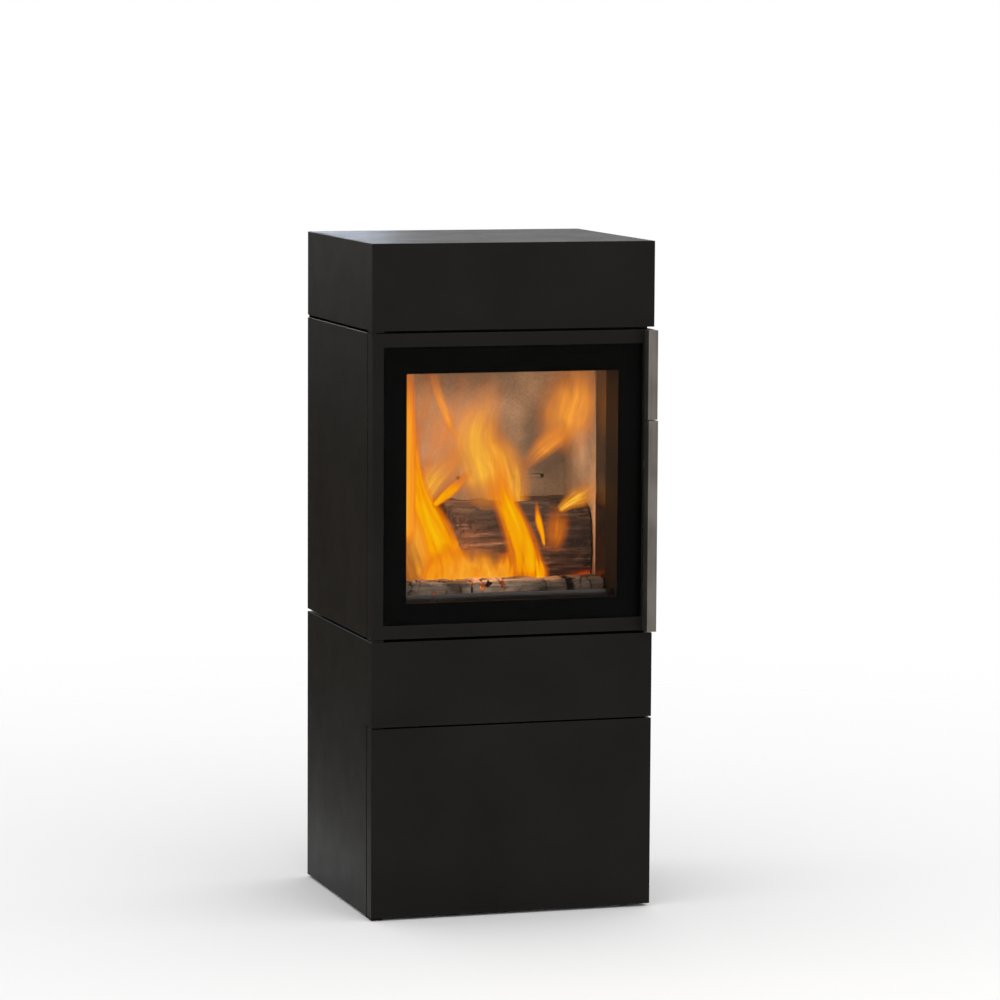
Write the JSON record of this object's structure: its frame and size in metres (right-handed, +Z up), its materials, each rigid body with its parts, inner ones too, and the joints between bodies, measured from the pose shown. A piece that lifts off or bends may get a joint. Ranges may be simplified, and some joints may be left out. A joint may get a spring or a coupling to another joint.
{
  "type": "wood burning stove",
  "caption": "Tall box-shaped steel wood stove with a glazed fire door, steel handle and air lever in one line, storage compartment below and a rear flue collar.",
  "frame": {"origin": "on the floor, under the middle of the whole stove's box", "axes": "+X to the right as seen from the front, +Y to the back, +Z up; the fire door faces -Y"},
  "size_m": [0.45, 0.407, 1.036],
  "materials": {
    "casing_paint": "matt heat-proof paint, dark warm black",
    "door_paint": "matt heat-proof paint, black",
    "firebox_paint": "matt heat-proof paint, sooted inside",
    "cheek_steel": "smooth black enamelled steel that mirrors the fire",
    "cast_iron": "rough cast",
    "board": "pressed insulating board, pale tan",
    "brick": "hearth brick with ash",
    "handle_steel": "brushed along its length",
    "bare_steel": "bare ground steel",
    "zinc_steel": "zinc plated",
    "glass": "clear glass ceramic, very faintly amber",
    "enamel": "black enamel fired on the glass",
    "rope": "grey glass fibre",
    "plastic": "dark grey",
    "bark_grey": "ash-grey burnt wood with cracks",
    "bark_charred": "charred wood with deep checks"
  },
  "bodies": {
    "stove": {"lower_casing": "casing_paint", "base_plate": "firebox_paint", "levelling_feet": "zinc_steel", "lower_back_panel": "casing_paint", "lower_top_plate": "firebox_paint", "storage_hinge_lugs": "bare_steel", "storage_hinge_pins": "bare_steel", "push_latch_housing": "plastic", "side_panel_left": "casing_paint", "side_panel_right": "casing_paint", "front_frame": "firebox_paint", "back_panel": "casing_paint", "back_panel_screws": "zinc_steel", "rear_heat_shield": "zinc_steel", "top_casing": "casing_paint", "top_plate": "casing_paint", "top_supports": "zinc_steel", "firebox_body": "firebox_paint", "flue_collar": "firebox_paint", "flue_blanking_plate": "cast_iron", "blanking_plate_screws": "zinc_steel", "floor_brick_left": "brick", "floor_brick_right": "brick", "floor_brick_back": "brick", "ash_pan": "zinc_steel", "grate": "cast_iron", "log_retainer": "cast_iron", "rear_lining": "board", "side_lining_left": "board", "side_lining_right": "board", "side_cheeks": "cheek_steel", "baffle_board": "board", "smoke_shelf": "firebox_paint", "airwash_deflector": "firebox_paint", "door_hinge_lugs": "bare_steel", "door_hinge_pins": "bare_steel", "latch_keepers": "bare_steel", "lever_filler": "door_paint", "air_slide_rails": "zinc_steel", "log_front": "bark_grey", "log_back": "bark_charred"},
    "fire_door": {"door_frame": "door_paint", "door_inner_frame": "cast_iron", "door_gasket": "rope", "door_glass": "glass", "glass_print": "enamel", "glass_tape": "rope", "shaft_bearings": "bare_steel"},
    "latch_handle": {"door_handle": "handle_steel", "handle_shaft": "bare_steel", "latch_hooks": "bare_steel"},
    "air_control": {"air_lever": "handle_steel", "air_lever_rods": "bare_steel", "air_slide_plate": "zinc_steel"},
    "storage_door": {"storage_door_shell": "casing_paint", "storage_door_liner": "casing_paint", "storage_hinge_blocks": "zinc_steel", "storage_strike_plate": "zinc_steel"},
    "latch_plunger": {"push_latch_plunger": "plastic"}
  },
  "joints": [
    {"name": "fire_door_hinge", "type": "hinge", "parent": "stove", "child": "fire_door", "pos_m": [-0.218, -0.1615, 0.667], "axis": [0, 0, -1], "range_deg": [0, 110]},
    {"name": "handle_turn", "type": "hinge", "parent": "fire_door", "child": "latch_handle", "pos_m": [0.2147, -0.1655, 0.598], "axis": [0, 0, -1], "range_deg": [0, 12]},
    {"name": "air_lever_slide", "type": "slide", "parent": "stove", "child": "air_control", "axis": [0, -1, 0], "range_m": [0, 0.025]},
    {"name": "storage_door_hinge", "type": "hinge", "parent": "stove", "child": "storage_door", "pos_m": [-0.218, -0.1615, 0.15], "axis": [0, 0, -1], "range_deg": [0, 110]},
    {"name": "push_latch_travel", "type": "slide", "parent": "stove", "child": "latch_plunger", "axis": [0, 1, 0], "range_m": [0, 0.003], "stiffness_N_per_m": 400}
  ]
}
